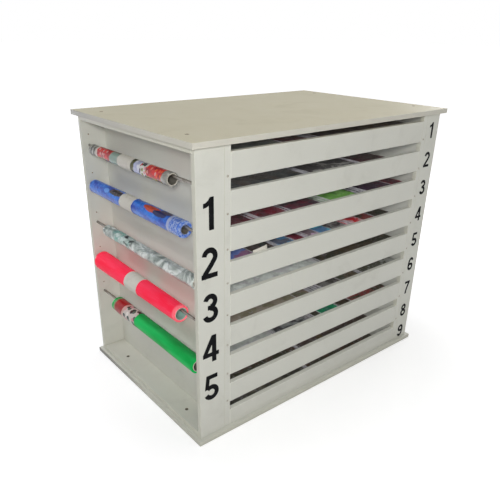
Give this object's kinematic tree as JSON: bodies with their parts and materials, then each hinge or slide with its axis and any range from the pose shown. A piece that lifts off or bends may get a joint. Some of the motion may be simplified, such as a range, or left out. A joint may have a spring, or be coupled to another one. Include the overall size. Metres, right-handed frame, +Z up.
{
  "type": "gift bag display rack",
  "caption": "Counter-high shop rack of white laminated boards: lipped shelves hold stacks of flat gift bags, and an open end bay carries rolls of wrapping film on rods.",
  "frame": {"origin": "on the floor under the middle of the rack's bounding box", "axes": "+X along the slatted front towards its right end, +Y from the front to the back, +Z up"},
  "size_m": [1.03, 0.675, 0.887],
  "materials": {
    "white_laminate": "satin",
    "top_laminate": "satin",
    "rod_steel": "satin",
    "screw_zinc": "satin",
    "core_paperboard": "matte",
    "film_printed": "gloss",
    "film_blue": "gloss",
    "film_silver": "gloss",
    "film_red": "gloss",
    "film_green": "gloss",
    "bag_film": "gloss"
  },
  "bodies": {
    "carcass": {"top_panel": "top_laminate", "base_panel": "white_laminate", "left_front_stile": "white_laminate", "left_back_stile": "white_laminate", "left_batten": "white_laminate", "left_partition": "white_laminate", "left_bay_floor": "white_laminate", "left_bay_ceiling": "white_laminate", "right_front_stile": "white_laminate", "right_back_stile": "white_laminate", "right_batten": "white_laminate", "right_partition": "white_laminate", "right_bay_floor": "white_laminate", "right_bay_ceiling": "white_laminate", "shelf_2": "white_laminate", "shelf_3": "white_laminate", "shelf_4": "white_laminate", "shelf_5": "white_laminate", "shelf_6": "white_laminate", "shelf_7": "white_laminate", "shelf_8": "white_laminate", "shelf_9": "white_laminate", "lip_1": "white_laminate", "lip_2": "white_laminate", "lip_3": "white_laminate", "lip_4": "white_laminate", "lip_5": "white_laminate", "lip_6": "white_laminate", "lip_7": "white_laminate", "lip_8": "white_laminate", "lip_9": "white_laminate", "bag_stacks_1": "bag_film", "bag_stacks_2": "bag_film", "bag_stacks_3": "bag_film", "bag_stacks_4": "bag_film", "bag_stacks_5": "bag_film", "bag_stacks_6": "bag_film", "bag_stacks_7": "bag_film", "bag_stacks_8": "bag_film", "bag_stacks_9": "bag_film", "top_screw_left_front": "screw_zinc", "top_screw_left_back": "screw_zinc", "top_screw_right_front": "screw_zinc", "top_screw_right_back": "screw_zinc"},
    "rod_1": {"rod_1": "rod_steel"},
    "roll_1": {"roll_core_1": "core_paperboard", "roll_film_1": "film_printed"},
    "rod_2": {"rod_2": "rod_steel"},
    "roll_2": {"roll_core_2": "core_paperboard", "roll_film_2": "film_blue"},
    "rod_3": {"rod_3": "rod_steel"},
    "roll_3": {"roll_core_3": "core_paperboard", "roll_film_3": "film_silver"},
    "rod_4": {"rod_4": "rod_steel"},
    "roll_4": {"roll_core_4": "core_paperboard", "roll_film_4": "film_red"},
    "rod_5": {"rod_5": "rod_steel"},
    "roll_5": {"roll_core_5": "core_paperboard", "roll_film_5": "film_green"}
  },
  "joints": [
    {"name": "rod_1_draw", "type": "slide", "parent": "carcass", "child": "rod_1", "axis": [0, 1, 0], "range_m": [0, 0.625]},
    {"name": "rod_2_draw", "type": "slide", "parent": "carcass", "child": "rod_2", "axis": [0, 1, 0], "range_m": [0, 0.625]},
    {"name": "rod_3_draw", "type": "slide", "parent": "carcass", "child": "rod_3", "axis": [0, 1, 0], "range_m": [0, 0.625]},
    {"name": "rod_4_draw", "type": "slide", "parent": "carcass", "child": "rod_4", "axis": [0, 1, 0], "range_m": [0, 0.625]},
    {"name": "rod_5_draw", "type": "slide", "parent": "carcass", "child": "rod_5", "axis": [0, 1, 0], "range_m": [0, 0.625]},
    {"name": "roll_1_turn", "type": "hinge", "parent": "carcass", "child": "roll_1", "pos_m": [-0.4775, 0.0455, 0.76687], "axis": [0, 1, 0], "continuous": true},
    {"name": "roll_2_turn", "type": "hinge", "parent": "carcass", "child": "roll_2", "pos_m": [-0.4775, 0.02855, 0.64471], "axis": [0, 1, 0], "continuous": true},
    {"name": "roll_3_turn", "type": "hinge", "parent": "carcass", "child": "roll_3", "pos_m": [-0.4775, -0.0298, 0.5091], "axis": [0, 1, 0], "continuous": true},
    {"name": "roll_4_turn", "type": "hinge", "parent": "carcass", "child": "roll_4", "pos_m": [-0.4775, 0.0464, 0.37878], "axis": [0, 1, 0], "continuous": true},
    {"name": "roll_5_turn", "type": "hinge", "parent": "carcass", "child": "roll_5", "pos_m": [-0.4775, -0.0396, 0.24497], "axis": [0, 1, 0], "continuous": true}
  ]
}
